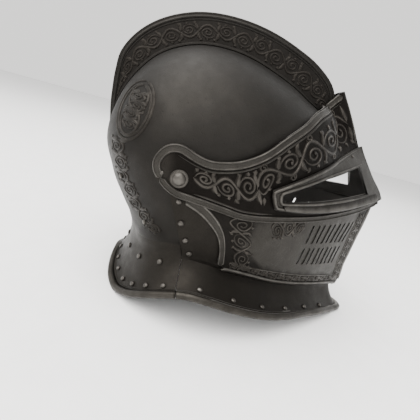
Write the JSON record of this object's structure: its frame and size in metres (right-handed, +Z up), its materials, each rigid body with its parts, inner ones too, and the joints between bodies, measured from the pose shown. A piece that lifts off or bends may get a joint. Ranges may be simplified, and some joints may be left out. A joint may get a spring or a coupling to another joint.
{
  "type": "close helmet",
  "caption": "Close helmet with a tall combed skull, a keeled visor with framed eye slits, a slotted ventail, a bevor and a flared gorget; the face plates swing up on side bolts.",
  "frame": {"origin": "on the ground under the middle of the bounding box, helmet standing on its gorget rim", "axes": "+Z up, face towards -Y, wearer's left towards +X"},
  "size_m": [0.2426, 0.3188, 0.2788],
  "materials": {
    "dome_steel": "blackened satin with fine pits",
    "etched_steel": "dark etched ground with raised, rubbed scrollwork",
    "gorget_steel": "brown-black patina, brighter rolled edge",
    "worn_steel": "rubbed bright, scratched",
    "rivet_steel": "rubbed domed heads"
  },
  "bodies": {
    "skull_body": {"skull": "dome_steel", "rear_gorget": "gorget_steel", "pivot_bolt_left": "rivet_steel", "skull_rivet_left_1": "rivet_steel", "skull_rivet_left_2": "rivet_steel", "rear_rim_rivet_left_1": "rivet_steel", "rear_rim_rivet_left_2": "rivet_steel", "rear_rim_rivet_left_3": "rivet_steel", "rear_rim_rivet_left_4": "rivet_steel", "rear_rim_rivet_left_5": "rivet_steel", "rear_rim_rivet_left_6": "rivet_steel", "rear_rim_rivet_left_7": "rivet_steel", "neck_rivet_left_1": "rivet_steel", "neck_rivet_left_2": "rivet_steel", "neck_rivet_left_3": "rivet_steel", "neck_rivet_left_4": "rivet_steel", "pivot_bolt_right": "rivet_steel", "skull_rivet_right_1": "rivet_steel", "skull_rivet_right_2": "rivet_steel", "rear_rim_rivet_right_1": "rivet_steel", "rear_rim_rivet_right_2": "rivet_steel", "rear_rim_rivet_right_3": "rivet_steel", "rear_rim_rivet_right_4": "rivet_steel", "rear_rim_rivet_right_5": "rivet_steel", "rear_rim_rivet_right_6": "rivet_steel", "rear_rim_rivet_right_7": "rivet_steel", "neck_rivet_right_1": "rivet_steel", "neck_rivet_right_2": "rivet_steel", "neck_rivet_right_3": "rivet_steel", "neck_rivet_right_4": "rivet_steel"},
    "bevor_body": {"bevor": "gorget_steel", "bevor_rivet_left_1": "rivet_steel", "bevor_rivet_left_2": "rivet_steel", "bevor_rivet_left_3": "rivet_steel", "bevor_rivet_left_4": "rivet_steel", "front_rim_rivet_left_1": "rivet_steel", "front_rim_rivet_left_2": "rivet_steel", "front_rim_rivet_left_3": "rivet_steel", "front_rim_rivet_left_4": "rivet_steel", "front_rim_rivet_left_5": "rivet_steel", "front_rim_rivet_left_6": "rivet_steel", "bevor_rivet_right_1": "rivet_steel", "bevor_rivet_right_2": "rivet_steel", "bevor_rivet_right_3": "rivet_steel", "bevor_rivet_right_4": "rivet_steel", "front_rim_rivet_right_1": "rivet_steel", "front_rim_rivet_right_2": "rivet_steel", "front_rim_rivet_right_3": "rivet_steel", "front_rim_rivet_right_4": "rivet_steel", "front_rim_rivet_right_5": "rivet_steel", "front_rim_rivet_right_6": "rivet_steel"},
    "ventail_body": {"ventail": "etched_steel"},
    "visor_body": {"visor": "etched_steel", "eye_frame": "worn_steel", "visor_rivet_left": "rivet_steel", "frame_rivet_left": "rivet_steel", "visor_rivet_right": "rivet_steel", "frame_rivet_right": "rivet_steel"}
  },
  "joints": [
    {"name": "bevor_lift", "type": "hinge", "parent": "skull_body", "child": "bevor_body", "pos_m": [0, 0.07241, 0.13113], "axis": [-1, 0, 0], "range_deg": [0, 35]},
    {"name": "ventail_lift", "type": "hinge", "parent": "bevor_body", "child": "ventail_body", "pos_m": [0, 0.07241, 0.13113], "axis": [-1, 0, 0], "range_deg": [0, 25]},
    {"name": "visor_lift", "type": "hinge", "parent": "ventail_body", "child": "visor_body", "pos_m": [0, 0.07241, 0.13113], "axis": [-1, 0, 0], "range_deg": [0, 45]}
  ]
}
